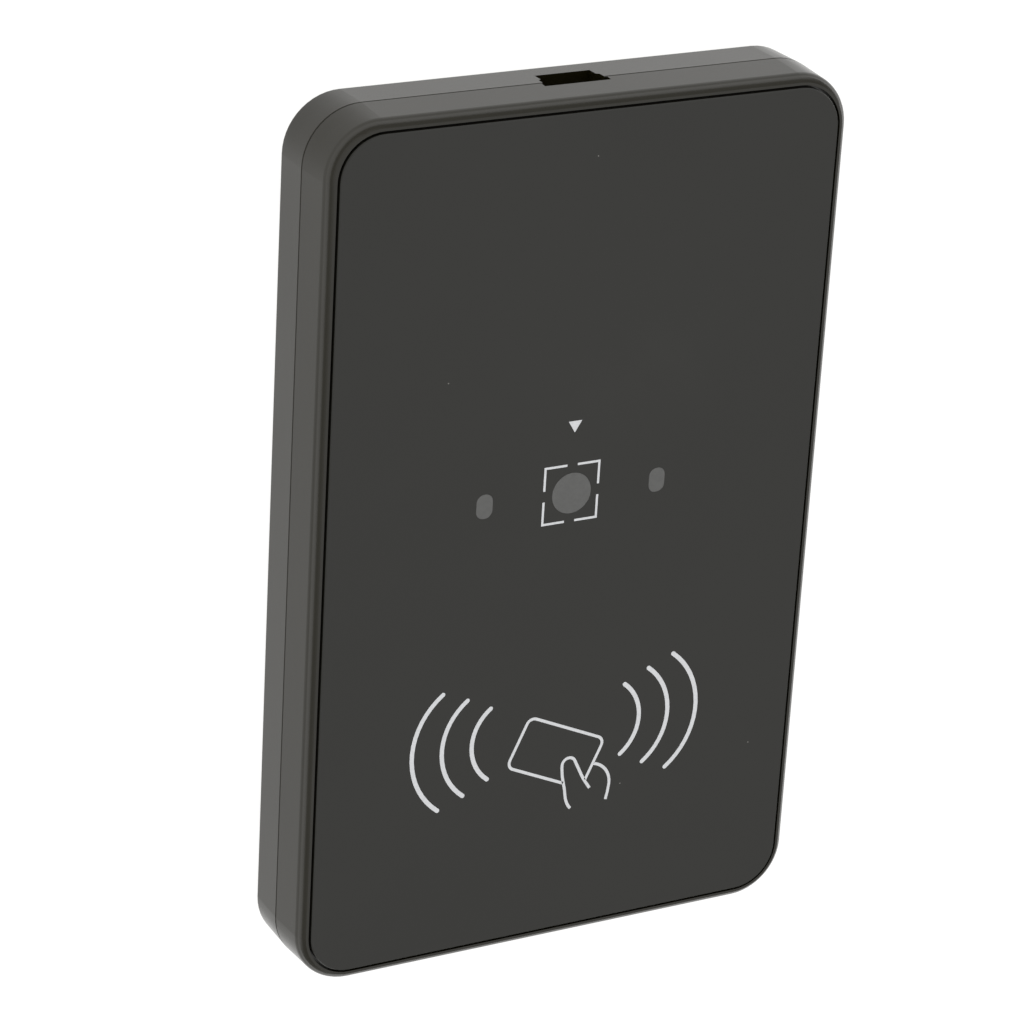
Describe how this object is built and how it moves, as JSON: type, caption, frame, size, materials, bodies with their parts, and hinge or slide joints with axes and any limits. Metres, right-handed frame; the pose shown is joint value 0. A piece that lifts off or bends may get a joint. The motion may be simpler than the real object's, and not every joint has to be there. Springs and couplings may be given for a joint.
{
  "type": "rfid card reader",
  "caption": "Flat black desktop card reader: two-part moulded case, flush dark panel with three light windows, USB socket at one end, rubber feet.",
  "frame": {"origin": "on the table plane under the middle of the case, at the bottoms of the rubber feet", "axes": "+Z out of the front panel, +Y towards the USB end, +X to the right seen from the front"},
  "size_m": [0.0682, 0.1094, 0.0137],
  "materials": {
    "case_abs": "fine-textured black ABS",
    "panel_sheet": "satin dark sheet",
    "print_ink": "light grey screen print",
    "tape": "black foam tape",
    "smoke_window": "smoky diffusing plastic",
    "board_green": "green solder mask",
    "copper": "copper tracks",
    "led_white": "white LED body",
    "chip_black": "moulded epoxy",
    "tinned": "tinned leads",
    "steel_can": "nickel-plated sheet",
    "tantalum_yellow": "yellow moulded capacitor",
    "ferrite": "dark ferrite",
    "ceramic_tan": "tan ceramic",
    "buzzer_black": "black moulded buzzer",
    "insulator_black": "black nylon",
    "gold_contact": "gold flash",
    "screw_zinc": "zinc-plated",
    "foot_rubber": "black rubber",
    "label_paper": "silvery polyester label, blank"
  },
  "bodies": {
    "root": {"rear_shell": "case_abs", "front_shell": "case_abs", "front_panel": "panel_sheet", "panel_tape": "tape", "status_light_guide": "smoke_window", "left_light_guide": "smoke_window", "right_light_guide": "smoke_window", "main_board": "board_green", "antenna_tracks": "copper", "status_led": "led_white", "left_led": "led_white", "right_led": "led_white", "mcu_chip": "chip_black", "mcu_pins": "tinned", "reader_chip": "chip_black", "regulator": "chip_black", "crystals": "steel_can", "tantalum_capacitors": "tantalum_yellow", "filter_inductors": "ferrite", "chip_capacitors": "ceramic_tan", "chip_resistors": "chip_black", "buzzer": "buzzer_black", "usb_shell": "steel_can", "usb_block": "insulator_black", "usb_tongue": "insulator_black", "usb_contacts": "gold_contact", "case_screws": "screw_zinc", "board_screws": "screw_zinc", "rubber_feet": "foot_rubber", "rating_label": "label_paper"}
  },
  "joints": []
}
